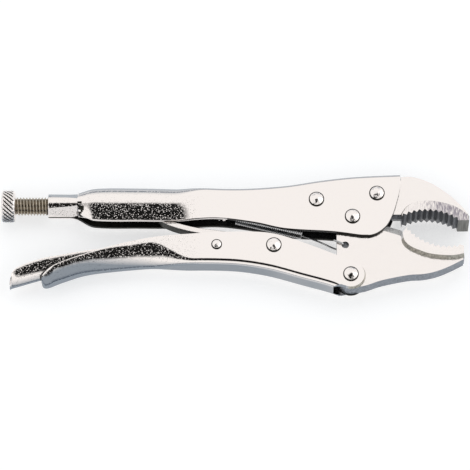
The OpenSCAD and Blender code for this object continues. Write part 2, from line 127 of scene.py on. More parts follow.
class PliersSmallParts(bpy.types.PropertyGroup):
    """Sizes of the screw, knob and spring."""

    thread_pitch: mm_size("Thread pitch", "Pitch of the screw", 1.64)
    thread_depth: mm_size("Thread depth", "Depth of the thread", 0.95)
    knurl_starts: bpy.props.IntProperty(
        name="Knurl starts", description="Ridges of each hand round the knob", default=22
    )
    knurl_depth: mm_size("Knurl depth", "Depth of the knurl", 0.55)
    wire: mm_size("Spring wire", "Diameter of the spring wire", 1.0)
    coil: mm_size("Spring coil", "Outer diameter of the coils", 6.0)
    coils: bpy.props.IntProperty(name="Coils", description="Number of coils of the spring", default=34)


class PliersColours(bpy.types.PropertyGroup):
    """Base colours of the finishes."""

    plate: base_colour("Nickel plate", "Plated sheet and jaws", (0.94, 0.885, 0.85))
    screw: base_colour("Screw steel", "Bare steel of the screw", (0.5, 0.45, 0.38))
    spring: base_colour("Spring steel", "Drawn wire of the spring", (0.68, 0.68, 0.68))
    floor: base_colour("Floor", "Pale floor", (0.54, 0.55, 0.56))


# ---------------------------------------------------------------- curves and sections


def height(knots, x):
    """Height at x of a smooth line through (x, height) knots."""
    last = len(knots) - 1
    i = max([j for j in range(last) if j == 0 or x >= knots[j][0]])

    def slope(j):
        a, b = knots[max(j - 1, 0)], knots[min(j + 1, last)]
        return (b[1] - a[1]) / (b[0] - a[0])

    (x0, y0), (x1, y1) = knots[i], knots[i + 1]
    w = x1 - x0
    t = min(1.0, max(0.0, (x - x0) / w))
    rise = (1 + 2 * t) * (1 - t) ** 2 * y0 + t * t * (3 - 2 * t) * y1
    return rise + t * (1 - t) * w * ((1 - t) * slope(i) - t * slope(i + 1))


def ramp(x, start, end):
    t = min(1.0, max(0.0, (x - start) / (end - start)))
    return t * t * (3 - 2 * t)


def mix(a, b, t):
    return a + (b - a) * t


def turns(count):
    """Angles of so many even steps round a circle."""
    return [2 * math.pi * k / count for k in range(count)]


def steps(start, end, size):
    count = max(1, math.ceil((end - start) / size))
    return [start + (end - start) * i / count for i in range(count)]


def half_section(edge, back, half_w, round_w, round_h, curl, lean, keel=1.0, sides=10, arcs=14):
    """One half of a channel section as (height, width), from its open edge up to its back.

    The flank curls in towards the open edge: round for a lean of 0, nearly straight for 1. The
    back is an ellipse for a keel of 1 and comes closer to a V for more.
    """
    up = 1 if back > edge else -1
    turn = back - up * round_h
    points = []
    for i in range(sides):
        a = math.pi / 2 * i / sides
        bend = mix(1 - math.sin(a), math.cos(a) ** 1.3, lean)
        points.append((mix(edge, turn, 1 - math.cos(a)), half_w - curl * bend))
    for i in range(arcs + 1):
        a = math.pi / 2 * i / arcs
        rise, reach = math.sin(a) ** keel, abs(math.cos(a)) ** keel
        points.append((turn + up * round_h * rise, half_w - round_w + round_w * reach))
    return points


def channel_ring(x, t, edge, back, half_w, round_w, round_h, curl=0, lean=1, keel=1.0):
    """Closed section of a sheet channel at x: along its outside, then back along its inside."""
    up = 1 if back > edge else -1
    facing = min(t, curl) * (1 - lean)
    hem = edge + up * facing
    deep = abs(back - up * t - hem)
    outer = half_section(edge, back, half_w, round_w, round_h, curl, lean, keel)
    inner_h = min(max(round_h - t, 0.3), 0.8 * deep)
    inner = half_section(hem, back - up * t, half_w - t, max(round_w - t, 0.3), inner_h, curl - facing, lean)
    path = outer + [(y, -z) for y, z in reversed(outer)] + [(y, -z) for y, z in inner] + list(reversed(inner))
    return [Vector((x, y, MIDDLE + up * z)) * MM for y, z in path]


def loft(rings):
    """Points, faces and finish numbers through a row of sheet rings: 1 inside the sheet, else 0.

    The ends close as strips between outside and inside.
    """
    n = len(rings[0])
    points = [p for ring in rings for p in ring]
    faces, kinds = [], []
    for j in range(len(rings) - 1):
        for i in range(n):
            k = (i + 1) % n
            faces.append((j * n + i, j * n + k, (j + 1) * n + k, (j + 1) * n + i))
            kinds.append(1 if n // 2 - 1 <= i < n - 1 else 0)
    last = (len(rings) - 1) * n
    for i in range(n // 2 - 1):
        faces.append((n - 1 - i, n - 2 - i, i + 1, i))
        faces.append((last + i, last + i + 1, last + n - 2 - i, last + n - 1 - i))
        kinds += [0, 0]
    return points, faces, kinds


# ---------------------------------------------------------------- making and finishing pieces


def placed(name, mesh):
    piece = bpy.data.objects.new(name, mesh)
    bpy.context.scene.collection.objects.link(piece)
    return piece


@contextmanager
def edited(mesh):
    """The mesh open for editing, and written back at the end."""
    bm = bmesh.new()
    bm.from_mesh(mesh)
    yield bm
    bm.to_mesh(mesh)
    bm.free()


def new_piece(name, points, faces, kinds=None, outside=None):
    """A closed piece; kinds gives each face the number of its finish, 0 outside and 1 inside."""
    mesh = bpy.data.meshes.new(name)
    mesh.from_pydata([tuple(p) for p in points], [], faces)
    if kinds:
        # The inside finish is near black: painted shade inside the channels
        for finish_name in (outside, "sheet_inside"):
            mesh.materials.append(finish(finish_name))
        mesh.polygons.foreach_set("material_index", kinds)
    with edited(mesh) as bm:
        bmesh.ops.remove_doubles(bm, verts=bm.verts, dist=1e-6)
        bmesh.ops.recalc_face_normals(bm, faces=bm.faces)
    return placed(name, mesh)


def bake_modifiers(piece):
    """Turns the evaluated piece into its plain mesh and drops its modifiers."""
    depsgraph = bpy.context.evaluated_depsgraph_get()
    depsgraph.update()
    mesh = bpy.data.meshes.new_from_object(piece.evaluated_get(depsgraph))
    mesh.name = piece.name
    piece.modifiers.clear()
    piece.data = mesh
    return piece


def round_edges(piece, width, segments=2, angle=35):
    bevel = piece.modifiers.new("round", "BEVEL")
    bevel.width = width * MM
    bevel.segments = segments
    bevel.limit_method = "ANGLE"
    bevel.angle_limit = math.radians(angle)
    return bake_modifiers(piece)


FLAT_AREA = 6.0 * MM * MM


def smooth(piece, angle=40):
    """Smooth shading that keeps creases sharper than the angle, and faces over FLAT_AREA flat."""
    piece.data.shade_smooth()
    with edited(piece.data) as bm:
        for e in bm.edges:
            if len(e.link_faces) == 2:
                wide = max(f.calc_area() for f in e.link_faces) > FLAT_AREA
                e.smooth = e.calc_face_angle(0) < math.radians(3 if wide else angle)
    return piece


def join(name, parts):
    """One mesh from several closed ones."""
    mesh = bpy.data.meshes.new(name)
    for material in parts[0].data.materials:
        mesh.materials.append(material)
    with edited(mesh) as bm:
        for part in parts:
            bm.from_mesh(part.data)
            bpy.data.objects.remove(part)
    return placed(name, mesh)


def cut(piece, tool, operation="DIFFERENCE"):
    boolean = piece.modifiers.new("cut", "BOOLEAN")
    boolean.operation = operation
    boolean.solver = "EXACT"
    boolean.object = tool
    bake_modifiers(piece)
    bpy.data.objects.remove(tool)
    return piece


def frame_copy(name, node):
    """A merged copy of a frame node's mesh, with its flat faces whole again."""
    mesh = bpy.data.meshes.new(name)
    with edited(mesh) as bm:
        bm.from_mesh(frame["nodes"][node].data)
        bmesh.ops.remove_doubles(bm, verts=bm.verts, dist=2e-6)
        bmesh.ops.dissolve_limit(bm, angle_limit=math.radians(0.6), verts=bm.verts, edges=bm.edges)
    return placed(name, mesh)


def skin(rings):
    """Points and faces through closed rings of points in mm, with both ends capped."""
    n = len(rings[0])
    top = (len(rings) - 1) * n
    faces = [tuple(reversed(range(n))), tuple(range(top, top + n))]
    faces += [(j + i, j + (i + 1) % n, j + n + (i + 1) % n, j + n + i) for j in range(0, top, n) for i in range(n)]
    return [Vector(p) * MM for ring in rings for p in ring], faces


def dress(piece, look, body, slot, *nodes):
    """Gives a piece its finish if it has none, puts it in its body and hides the frame nodes that it stands for; slot
    is not used.
    """
    if not piece.data.materials:
        piece.data.materials.append(finish(look))
    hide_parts(*nodes)
    if body:
        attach(piece, body)
    return piece


def paint(piece, look, test):
    """Gives the faces that pass a test of (centre in mm, normal) a finish of their own."""
    piece.data.materials.append(finish(look))
    index = len(piece.data.materials) - 1
    for face in piece.data.polygons:
        if test(face.center / MM, face.normal):
            face.material_index = index
    return piece


# ---------------------------------------------------------------- materials


def add_node(tree, kind, inputs=None, **settings):
    """A node whose inputs, given by name or number, take a plain value or a link from an output."""
    node = tree.nodes.new(kind)
    for key, value in settings.items():
        setattr(node, key, value)
    for key, value in (inputs or {}).items():
        if isinstance(value, bpy.types.NodeSocket):
            tree.links.new(value, node.inputs[key])
        else:
            node.inputs[key].default_value = value
    return node


def calc(tree, operation, *values, clamp=False):
    node = add_node(tree, "ShaderNodeMath", dict(enumerate(values)), operation=operation, use_clamp=clamp)
    return node.outputs[0]


def parted(tree, vector):
    """The X, Y and Z outputs of a vector."""
    return add_node(tree, "ShaderNodeSeparateXYZ", {0: vector}).outputs


def place_on_piece(tree):
    """Outputs for the place and the normal in the piece's own frame."""
    return add_node(tree, "ShaderNodeTexCoord").outputs


def add_range(tree, value, start, stop, low=0.0, high=1.0, kind="LINEAR"):
    """Goes from low to high as the value goes from start to stop."""
    ends = {"From Min": start, "From Max": stop, "To Min": low, "To Max": high}
    return add_node(tree, "ShaderNodeMapRange", {"Value": value, **ends}, interpolation_type=kind).outputs[0]


def shader(name, colour, roughness, metallic=1.0):
    material = bpy.data.materials.new(name)
    material.use_nodes = True
    bsdf = material.node_tree.nodes["Principled BSDF"]
    bsdf.inputs["Metallic"].default_value = metallic
    bsdf.inputs["Roughness"].default_value = roughness
    bsdf.inputs["Base Color"].default_value = (*colour, 1)
    return material, material.node_tree, bsdf


def add_noise(tree, scale, detail, stretch=(1, 1, 1)):
    """Noise on object coordinates, with cells of about 1/scale metre."""
    mapping = add_node(tree, "ShaderNodeMapping", {"Vector": place_on_piece(tree)["Object"], "Scale": stretch})
    inputs = {"Vector": mapping.outputs["Vector"], "Scale": scale, "Detail": detail}
    return add_node(tree, "ShaderNodeTexNoise", inputs).outputs["Fac"]


def add_bump(tree, bsdf, *sources):
    """Bumps from (output, strength, height in mm), one after another."""
    below = {}
    for output, strength, distance in sources:
        inputs = {"Height": output, "Strength": strength, "Distance": distance * MM, **below}
        below = {"Normal": add_node(tree, "ShaderNodeBump", inputs).outputs["Normal"]}
    tree.links.new(below["Normal"], bsdf.inputs["Normal"])


def add_ramp(tree, output, socket, stops):
    """Colour ramp of (place, colour) stops from an output to a socket."""
    node = add_node(tree, "ShaderNodeValToRGB", {"Fac": output})
    for element, (place, colour) in zip(node.color_ramp.elements, stops):
        element.position = place
        element.color = (*colour, 1)
    tree.links.new(node.outputs["Color"], socket)


def grey(value):
    return (value, value, value)


def tinted(colour, factor):
    return tuple(min(1.0, c * factor) for c in colour)


# Painted reflection: cool, dull tint on walls that face along Y, standing in for the shadowed floor they mirror; and
# the places along X between which the spoon end gets more of it
REFLECTED_SHADE_TONE = (0.28, 0.33, 0.385)
SPOON_SHADE_FROM, SPOON_SHADE_TO = -80, -150
# Noise levels between which a pip of the grain rises, the length over which pips fade, and what is left
PIP_LOW, PIP_HIGH = 0.57, 0.8
PIP_FADE, PIP_REST = 14, 0.12


def plated(name, colour, roughness, grain, grain_depth, wave_depth, specks=None, toned="ABSOLUTE", spoon=0.0,
           turn=(0.48, 0.78)):
    """Bright nickel over metal that keeps some of its grain and waviness.

    Walls that face along Y get a painted reflection, a cooler and duller tint that stands in for the
    shadowed floor they mirror: both ways for ABSOLUTE, only up for MAXIMUM, between the two shares
    of the normal in turn. The share spoon adds more of this painted reflection at the rear end. With
    specks, a place along X in mm, the grain stands in single pips that grow lower in front of it.
    """
    material, tree, bsdf = shader(name, colour, roughness)
    relief = add_noise(tree, grain, 1.5)
    wave = add_noise(tree, grain * 0.12, 2.0)
    place = place_on_piece(tree)
    x = parted(tree, place["Object"])["X"]
    # Painted reflection: faces that turn along Y, and more so at the spoon end, take the cooler, duller tint
    upright = calc(tree, toned, parted(tree, place["Normal"])["Y"], 0.0)
    spoon_shade = add_range(tree, x, SPOON_SHADE_FROM * MM, SPOON_SHADE_TO * MM, -spoon / 4, spoon)
    reflected_shade = tuple(c * k for c, k in zip(colour, REFLECTED_SHADE_TONE))
    add_ramp(tree, calc(tree, "ADD", upright, spoon_shade), bsdf.inputs["Base Color"], [(turn[0], colour), (turn[1], reflected_shade)])
    if specks is not None:
        pips = add_range(tree, relief, PIP_LOW, PIP_HIGH, kind="SMOOTHSTEP")
        fade = add_range(tree, x, specks * MM, (specks + PIP_FADE) * MM, 1.0, PIP_REST)
        relief = calc(tree, "MULTIPLY", pips, fade)
    add_bump(tree, bsdf, (wave, 1.0, wave_depth), (relief, 1.0, grain_depth))
    return material


def worked(name, colour, roughness, scale=1500.0, detail=2.0, streak=(1, 1, 1), tints=(0.6, 1.6), bump=(1.0, 0.06),
           metallic=1.0):
    """Duller metal left by a tool or a die, mottled, or streaked along the axis that streak shrinks; some finishes
    made with it are painted shade or painted reflection.
    """
    material, tree, bsdf = shader(name, colour, roughness, metallic)
    marks = add_noise(tree, scale, detail, streak)
    low, high = (tinted(colour, tint) for tint in tints)
    add_ramp(tree, marks, bsdf.inputs["Base Color"], [(0.3, low), (0.7, high)])
    if bump:
        add_bump(tree, bsdf, (marks, *bump))
    return material


# Places along X between which the lips go from bright to worn, and their worn colour
LIP_BRIGHT_TO, LIP_WORN_FROM = 36, 47
LIP_WORN = (0.33, 0.3, 0.34)


def scratched_lip(name, colour, roughness):
    """Ground face of a lip: plated at the root, mottled with fine scratches towards the tip."""
    material, tree, bsdf = shader(name, colour, roughness)
    marks = add_noise(tree, 1300.0, 3.0, (1, 0.3, 1))
    x = parted(tree, place_on_piece(tree)["Object"])["X"]
    wear = add_range(tree, x, LIP_BRIGHT_TO * MM, LIP_WORN_FROM * MM, 0.55)
    add_ramp(tree, calc(tree, "MULTIPLY", marks, wear), bsdf.inputs["Base Color"], [(0.28, colour), (0.62, LIP_WORN)])
    add_bump(tree, bsdf, (marks, 1.0, 0.03))
    return material


def finish_table():
    """Maker, colour, roughness and settings of every finish."""
    colours = bpy.context.scene.pliers_colours
    plate, screw, spring = (tuple(c) for c in (colours.plate, colours.screw, colours.spring))
    sheet = dict(grain=1600.0, grain_depth=0.07, wave_depth=0.04, specks=-92.0)
    forged = dict(grain=1900.0, grain_depth=0.035)
    ground = dict(streak=(1, 1, 0.05))
    return {
        "plated_sheet": (plated, plate, 0.05, sheet),
        "plated_spoon": (plated, plate, 0.05, dict(sheet, spoon=0.4, turn=(0.62, 0.88))),
        "plated_barrel": (plated, plate, 0.05, dict(sheet, toned="MAXIMUM", turn=(0.3, 0.78))),
        "plated_jaw": (plated, plate, 0.14, dict(forged, wave_depth=0.15)),
        "plated_link": (plated, plate, 0.2, dict(forged, wave_depth=0.2)),
        "plated_rivet": (plated, plate, 0.06, dict(grain=3600.0, grain_depth=0.04, wave_depth=0.45, turn=(0.7, 0.95))),
        "plated_knob": (plated, plate, 0.16, dict(grain=2000.0, grain_depth=0.03, wave_depth=0.1, turn=(0.62, 0.95))),
        "lip_face": (scratched_lip, plate, 0.2, {}),
        # Painted shade: the inside of the pressed sheet is near black, standing in for the shade in the channels
        "sheet_inside": (worked, grey(0.08), 0.5, dict(scale=300.0, detail=3.0, tints=(0.6, 1.2), bump=None)),
        # Painted reflection: jaw walls get a blue-grey that stands in for the shadowed floor they mirror
        "forged_side": (worked, (0.2, 0.222, 0.255), 0.35, {}),
        # Painted shade: near black for the teeth, the upper cutter's underside and the hook hole's wall
        "toothed_face": (worked, (0.09, 0.095, 0.105), 0.3, dict(streak=(1, 1, 0.04))),
        # Ground steps of the jaws' lips, and also painted shade on the ears' rims
        "ground_step": (worked, (0.33, 0.32, 0.285), 0.4, ground),
        "ground_tip": (worked, (0.16, 0.16, 0.15), 0.4, ground),
        "cutter_block": (worked, (0.8, 0.77, 0.74), 0.6, dict(metallic=0.0)),
        # Painted shade: near black for steps, edges, grooves and rims where shade falls
        "grimy_groove": (worked, (0.025, 0.024, 0.021), 0.4, {}),
        # Painted shade for the roots of the thread
        "thread_root": (worked, (0.2, 0.17, 0.125), 0.15, {}),
        "screw_steel": (worked, screw, 0.12, dict(scale=900.0, detail=3.0, tints=(0.75, 1.15), bump=(0.5, 0.03))),
        "spring_steel": (worked, spring, 0.2, dict(scale=700.0, tints=(0.8, 1.1), bump=None)),
    }


FINISHES = {}


def finish(name):
    """The finish of that name, made once."""
    if name not in FINISHES:
        maker, colour, roughness, settings = finish_table()[name]
        FINISHES[name] = maker(name, colour, roughness, **settings)
    return FINISHES[name]


# ---------------------------------------------------------------- outlines of the pressed pieces

BARREL_BACK = node_box("upper_handle")[0].x
NOSE_X = node_box("upper_handle")[1].x
BARREL_LENGTH = 15.4
GRIP_START = BARREL_BACK + BARREL_LENGTH - 4
GRIP_FULL = BARREL_BACK + BARREL_LENGTH + 9
AXIS_Y = SCREW_AXIS.y

UPPER_BACK = [
    (GRIP_START, AXIS_Y + 6.4), (GRIP_START + 4, 15.4), (GRIP_FULL, 18.1), (-114, 18.4), (-88, 17.7),
    (-60, 16.9), (-36, 18.5), (-16, 21.7), (2, 23.8), (NOSE_X, 25),
]
UPPER_EDGE = [
    (GRIP_START, AXIS_Y - 6.4), (GRIP_START + 4, 1.6), (GRIP_FULL, -1.4), (-112, -1.9), (-92, -1.9),
    (-72, -0.8), (-52, -3.3), (-36, -6.9), (-10, -8.8), (4.5, -10.85),
]
UPPER_NOSE = [
    (4.5, -10.85), (8.5, -10.75), (12.1, -9.8), (15.6, -7.5), (18.6, -4.2), (21.4, 1.6), (23.4, 8.1),
    (24.8, 13.6), (25.4, 17.4), (NOSE_X, 21.5),
]

LOWER_END = node_box("lower_handle")[0].x
SPINE_END = -10.4
LOWER_BACK = [
    (LOWER_END, -36.4), (-163.2, -38.3), (-160.5, -38.5), (-154, -35.8), (-141, -31.4), (-122, -28.8),
    (-102, -27.3), (-66, -27.1), (-46, -29.8), (-26, -35.5), (SPINE_END, -40.2), (-3, -44),
]
LOWER_EDGE = [
    (LOWER_END, -35.2), (-163.6, -33.2), (-160.2, -30), (-154.9, -27), (-144.3, -22.9), (-123.1, -16.2),
    (-102, -11.8), (-78, -9.4), (-62, -8.8), (-47.8, -9.1), (-38.3, -10.8), (-24.5, -15.7), (-8.1, -22.4),
    (2, -26.4), (7.2, -26.6),
]
# Round ears about the handle pivot: their radius, how far their rims lean in per mm, and where along Y
# the end of the spine meets them
EAR_RADIUS = 7.8
EAR_LEAN = 0.3
EAR_STEP = HANDLE_AXIS.y - EAR_RADIUS * 0.85
# Places along X between which the round grips turn into flat cheeks
UPPER_FADE = (-95, -77)
LOWER_FADE = (-108, -84)
# Depth of the round back as a share of the section at the rear and further on, and where it changes
ROUND_SHARES, ROUND_FADE = (0.97, 0.85), (-134, -114)
# How far the back comes to a V in the spoon and in the grip, and where it changes
SPOON_KEEL, GRIP_KEEL = 1.32, 1.3
SPOON_ENDS = (-142, -126)

# Centre and radius of the curves through the teeth
TOOTH_CURVES = {"upper_jaw": ((39.3, -26.0), 28.5), "lower_jaw": ((50.3, 9.6), 26.8)}
# Hole in the lower jaw for the spring's hook, and the jaw's thickness there
HOOK_HOLE = Vector((-3.9, -15.6, 0))
HOOK_RADIUS = 1.95
JAW_WEB = 8.6
# Faces further than this from the middle plane belong to the jaws' proud lips
PROUD = 4.5
# Range along X and Y of the cutters, and where the upper jaw's ground tip starts
UPPER_CUTTER = ((10, 27.5), (0.4, 2.6))
LOWER_CUTTER = ((9, 26.5), (-12, 0))
TIP_FROM = 55.5

# Radii of the large and small rivets' shanks and holes
SHANKS = {"large": 3.0, "small": 1.9}
HOLES = {"large": 3.06, "small": 1.96}
# Lug for the spring inside the upper handle: its range along X and Y, its width, and its eye
LUG = ((-68.8, -67.2), (0.4, 15.2))
LUG_WIDTH = 5
EYE, EYE_RADIUS, EYE_LENGTH = Vector((-68, 3, MIDDLE)), 1.3, 4
# Ends of the spring's coils
COIL_FRONT, COIL_REAR = Vector((-26.6, -7.4, MIDDLE)), Vector((-61.5, 1.2, MIDDLE))

TAIL_END = node_box("release_lever")[0].x
LEVER_FRONT = node_box("release_lever")[1].x
LEVER_BACK = [
    (TAIL_END, -39.2), (-176, -37.7), (-164, -34), (-150, -30.8), (-132, -27.3), (-110, -25.2),
    (-80, -24.2), (LEVER_FRONT, -23.6),
]
LEVER_EDGE = [
    (TAIL_END, -37.4), (-179.8, -31.8), (-176.1, -28.3), (-165.5, -24), (-154.9, -21.7), (-136.4, -18.4),
    (-116, -16.6), (-96, -14.2), (-80, -13.2), (LEVER_FRONT, -15.8),
]


# ---------------------------------------------------------------- geometry node trees


class Tree:
    """A geometry node tree with named inputs, written as calculations."""

    def __init__(self, name, inputs):
        self.tree = bpy.data.node_groups.new(name, "GeometryNodeTree")
        self.ids = {}
        self.tree.interface.new_socket("Geometry", in_out="INPUT", socket_type="NodeSocketGeometry")
        for label, kind in inputs:
            item = self.tree.interface.new_socket(label, in_out="INPUT", socket_type="NodeSocket" + kind)
            self.ids[label] = item.identifier
        self.tree.interface.new_socket("Geometry", in_out="OUTPUT", socket_type="NodeSocketGeometry")
        self.start = self.tree.nodes.new("NodeGroupInput")

    def __getitem__(self, label):
        return self.start.outputs[label]

    def node(self, kind, inputs=None):
        return add_node(self.tree, kind, inputs)

    def calc(self, operation, *values, clamp=False):
        return calc(self.tree, operation, *values, clamp=clamp)

    plus = partialmethod(calc, "ADD")
    less = partialmethod(calc, "SUBTRACT")
    times = partialmethod(calc, "MULTIPLY")
    over = partialmethod(calc, "DIVIDE")

    def joined(self, x, y, z):
        return self.node("ShaderNodeCombineXYZ", {0: x, 1: y, 2: z}).outputs[0]

    def wrap(self, around, along):
        """A unit grid to wrap round an axis: its geometry, and the shares of turn and length."""
        grid = self.node("GeometryNodeMeshGrid", {"Vertices X": around, "Vertices Y": along})
        place = parted(self.tree, self.node("GeometryNodeInputPosition").outputs[0])
        return grid.outputs["Mesh"], self.plus(place[0], 0.5), self.plus(place[1], 0.5)

    def moved(self, geometry, position):
        return self.node("GeometryNodeSetPosition", {"Geometry": geometry, "Position": position}).outputs[0]

    def end(self, geometry):
        """Closes seams, realises what is instanced, sets the material and ends the tree."""
        whole = self.node("GeometryNodeRealizeInstances", {0: geometry})
        merge = self.node("GeometryNodeMergeByDistance", {"Geometry": whole.outputs[0], "Distance": 1e-6})
        dyed = self.node("GeometryNodeSetMaterial", {"Geometry": merge.outputs[0], "Material": self["Finish"]})
        self.node("NodeGroupOutput", {0: dyed.outputs[0]})
        return self


def grown(name, made, look, lengths, base_points=(Vector(),), **numbers):
    """A plain mesh piece from a tree, with its lengths in mm, on an object of loose points."""
    mesh = bpy.data.meshes.new(name)
    mesh.from_pydata([tuple(p * MM) for p in base_points], [], [])
    piece = placed(name, mesh)
    modifier = piece.modifiers.new("grow", "NODES")
    modifier.node_group = made.tree
    scaled = {label: value * MM for label, value in lengths.items()}
    for label, value in {"Finish": finish(look), **scaled, **numbers}.items():
        modifier[made.ids[label]] = value
    bake_modifiers(piece)
    with edited(piece.data) as bm:
        bmesh.ops.recalc_face_normals(bm, faces=bm.faces)
    return piece


SIZE_INPUTS = [("Radius", "Float"), ("Length", "Float"), ("Start", "Float"), ("Height", "Float"),
               ("Depth", "Float"), ("Around", "Int"), ("Along", "Int"), ("Finish", "Material")]


def wrapped_bar(name, inputs, relief):
    """Tree of a round bar along X with closed ends and a relief on its surface.

    relief(tree, turn, place, rim) gives the surface's radius; rim is the distance to the nearer end.
    """
    t = Tree(name, SIZE_INPUTS + inputs)
    rows = t.less(t["Along"], 1.0)
    mesh, turn, share = t.wrap(t["Around"], t["Along"])
    row = t.times(share, rows)
    inner = t.over(t.less(row, 1.0), t.less(rows, 2.0), clamp=True)
    place = t.times(inner, t["Length"])
    rim = t.calc("MINIMUM", place, t.less(t["Length"], place))
    ends = t.times(t.calc("GREATER_THAN", row, 0.5), t.calc("LESS_THAN", row, t.less(rows, 0.5)))
    radius = t.times(relief(t, turn, place, rim), ends)
    angle = t.times(turn, 2 * math.pi)
    x = t.plus(place, t["Start"])
    y = t.plus(t.times(radius, t.calc("COSINE", angle)), AXIS_Y * MM)
    z = t.plus(t.times(radius, t.calc("SINE", angle)), t["Height"])
    return t.end(t.moved(mesh, t.joined(x, y, z)))


def thread_tree():
    """Right-hand thread with rounded crests and roots."""

    def relief(t, turn, place, rim):
        wound = t.less(t.over(place, t["Pitch"]), turn)
        wave = t.calc("COSINE", t.times(wound, 2 * math.pi))
        shaped = t.times(t.plus(wave, 1.0), 0.5)
        cut_in = t.times(shaped, t["Depth"])
        threaded = t.less(t["Radius"], cut_in)
        taper = t.plus(t.less(t["Radius"], t["Depth"]), rim)
        return t.calc("MINIMUM", threaded, taper)

    return wrapped_bar("screw_thread", [("Pitch", "Float")], relief)


# Depth of the knurl's weak hand as a share of the strong one, and the plain width at its ends in mm
WEAK_HAND = 0.35
RIM_FLAT = 0.25


def knurl_tree():
    """Crossed spiral grooves, one hand deeper than the other, between rounded rims."""

    def relief(t, turn, place, rim):
        lean = t.times(t.over(place, t["Lead"]), t["Ridges"])

        def grooves(hand):
            phase = t.plus(t.times(turn, t["Ridges"]), t.times(lean, hand))
            wave = t.calc("ABSOLUTE", t.less(t.times(t.calc("FRACT", phase), 2.0), 1.0))
            return t.less(t.times(wave, 1.6), 0.45, clamp=True)

        groove = t.calc("MAXIMUM", grooves(-1.0), t.times(grooves(1.0), WEAK_HAND))
        fade = t.over(t.less(rim, RIM_FLAT * MM), t["Rim"], clamp=True)
        cut_in = t.times(t.times(groove, t["Depth"]), fade)
        short = t.less(t["Rim"], t.calc("MINIMUM", rim, t["Rim"]))
        square = t.less(t.times(t["Rim"], t["Rim"]), t.times(short, short))
        arch = t.calc("SQRT", t.calc("MAXIMUM", square, 0.0))
        envelope = t.plus(t.less(t["Radius"], t["Rim"]), arch)
        return t.less(envelope, cut_in)

    return wrapped_bar("knob_knurl", [("Ridges", "Float"), ("Lead", "Float"), ("Rim", "Float")], relief)


def rivet_tree():
    """Rivets with a domed head at each end, one on every point of the base object.

    A rivet runs along Z from its middle: shank, underside, upright rim, then crown.
    """
    t = Tree("domed_rivet", [("Shank", "Float"), ("Head", "Float"), ("Dome", "Float"), ("Seat", "Float"),
                             ("Finish", "Material")])
    shank_end, head_end, wall_end = 0.15, 0.4, 0.5
    wall_share, crown_power = 0.25, 1.7
    mesh, turn, share = t.wrap(65, 61)
    side = t.less(t.times(share, 2.0), 1.0)
    out = t.calc("ABSOLUTE", side)

    def part(start, stop):
        return t.over(t.less(out, start), stop - start, clamp=True)

    shank, under, wall = part(0, shank_end), part(shank_end, head_end), part(head_end, wall_end)
    reach = t.less(1.0, part(wall_end, 1))
    rise = t.times(t.less(t["Head"], t["Shank"]), under)
    radius = t.times(t.plus(t["Shank"], rise), reach)
    curve = t.less(1.0, t.calc("POWER", reach, crown_power))
    raised = t.plus(t.times(wall, wall_share), t.times(curve, 1 - wall_share))
    level = t.plus(t.times(shank, t["Seat"]), t.times(t["Dome"], raised))
    angle = t.times(turn, 2 * math.pi)
    place = t.joined(t.times(radius, t.calc("COSINE", angle)), t.times(radius, t.calc("SINE", angle)),
                     t.times(level, t.calc("SIGN", side)))
    inputs = {"Points": t["Geometry"], "Instance": t.moved(mesh, place)}
    return t.end(t.node("GeometryNodeInstanceOnPoints", inputs).outputs[0])


def coil_tree():
    """Close-wound coil along Z from the origin."""
    t = Tree("spring_coil", [("Wire", "Float"), ("Coil", "Float"), ("Length", "Float"), ("Turns", "Float"),
                             ("Finish", "Material")])
    middle = t.less(t.over(t["Coil"], 2.0), t.over(t["Wire"], 2.0))
    spiral = t.node("GeometryNodeCurveSpiral", {
        "Resolution": 26, "Rotations": t["Turns"], "Start Radius": middle, "End Radius": middle,
        "Height": t["Length"],
    })
    ring = t.node("GeometryNodeCurvePrimitiveCircle", {"Resolution": 10, "Radius": t.times(t["Wire"], 0.49)})
    sweep = t.node("GeometryNodeCurveToMesh", {
        "Curve": spiral.outputs["Curve"], "Profile Curve": ring.outputs["Curve"], "Fill Caps": True,
    })
    return t.end(sweep.outputs[0])


# ---------------------------------------------------------------- makers of the pieces


def catmull(points):
    """Smooth row of points through a few, with six steps between two."""
    points = [Vector(p) for p in points]
    last = len(points) - 1
    row = []
    for i in range(last):
        a, b = points[max(i - 1, 0)], points[i]
        c, d = points[i + 1], points[min(i + 2, last)]
        for k in range(6):
            t = k / 6
            row.append(b + 0.5 * t * ((c - a) + t * ((2 * a - 5 * b + 4 * c - d) + t * (3 * (b - c) + d - a))))
    return row + [points[last]]


def layered(name, layers):
    """Solid through outlines of the same length at heights over the middle plane."""
    return new_piece(name, *skin([[(x, y, MIDDLE + z) for x, y in outline] for z, outline in layers]))


def slab(name, outline, thickness):
    """Plate of an outline about the middle plane."""
    return layered(name, [(-thickness / 2, outline), (thickness / 2, outline)])


def rectangle(across, along):
    """Outline of a range along X and a range along Y."""
    (x0, x1), (y0, y1) = across, along
    return [(x0, y0), (x1, y0), (x1, y1), (x0, y1)]


def round_bar(name, centre, radius, length=40.0, axis="Z", segments=64):
    """Round bar about a point, to cut a hole with."""
    rings = []
    for s in (-length / 2, length / 2):
        ring = [(radius * math.cos(a), radius * math.sin(a)) for a in turns(segments)]
        rings.append([centre + Vector((s, u, v) if axis == "X" else (u, v, s)) for u, v in ring])
    return new_piece(name, *skin(rings))


def tube(name, path, radius, across, sides=14):
    """Round wire along a path that is never parallel to the vector across."""
    rings = []
    for i, p in enumerate(path):
        heading = (path[min(i + 1, len(path) - 1)] - path[max(i - 1, 0)]).normalized()
        u = heading.cross(Vector(across)).normalized()
        v = heading.cross(u)
        rings.append([p + radius * (math.cos(a) * u + math.sin(a) * v) for a in turns(sides)])
    return new_piece(name, *skin(rings))


